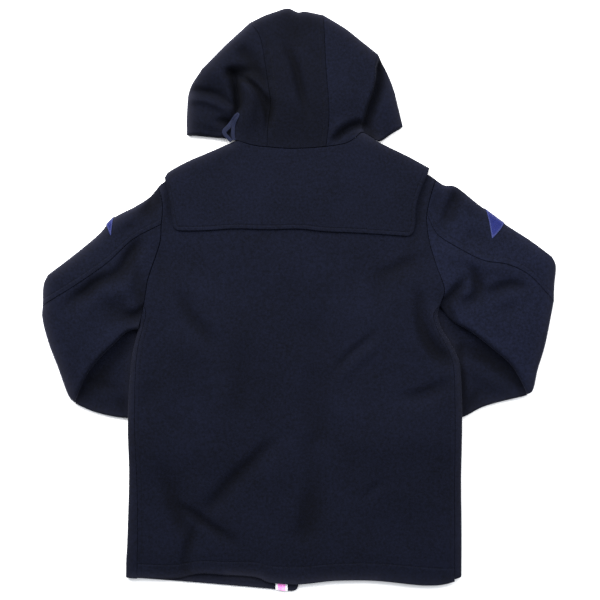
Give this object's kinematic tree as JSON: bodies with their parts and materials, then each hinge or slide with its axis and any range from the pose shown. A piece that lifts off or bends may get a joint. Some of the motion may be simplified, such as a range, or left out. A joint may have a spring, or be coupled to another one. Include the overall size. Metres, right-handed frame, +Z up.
{
  "type": "duffle coat",
  "caption": "Hooded hip-length coat of heavy napped wool cloth, lying face down with both sleeves folded under, showing its back, shoulder cape, sleeves and three-panel hood.",
  "frame": {"origin": "middle of the whole coat's bounding box at the surface that the coat lies on", "axes": "+X to the right of the coat as it lies face down, +Y from the hem to the hood, +Z up from the surface"},
  "size_m": [0.9224, 1.0484, 0.0331],
  "materials": {
    "melton": "matte napped heavy navy wool melton",
    "melton_hidden": "matte navy wool melton, layers inside the fold",
    "ribbon": "bright blue ribbon",
    "badge_thread": "blue satin stitch",
    "facing_tape": "white woven tape with a pink middle stripe"
  },
  "bodies": {
    "root": {"back_panel": "melton", "yoke": "melton", "front_left": "melton", "front_right": "melton", "sleeve_top_left": "melton", "sleeve_top_right": "melton", "sleeve_under_left": "melton", "sleeve_under_right": "melton", "sleeve_inner_left": "melton_hidden", "sleeve_inner_right": "melton_hidden", "sleeve_lower_left": "melton", "sleeve_lower_right": "melton", "hood_side_left": "melton", "hood_centre": "melton", "hood_side_right": "melton", "hood_inner": "melton_hidden", "neck_loop": "ribbon", "facing_tape": "facing_tape", "badge_left": "badge_thread", "badge_right": "badge_thread"}
  },
  "joints": []
}
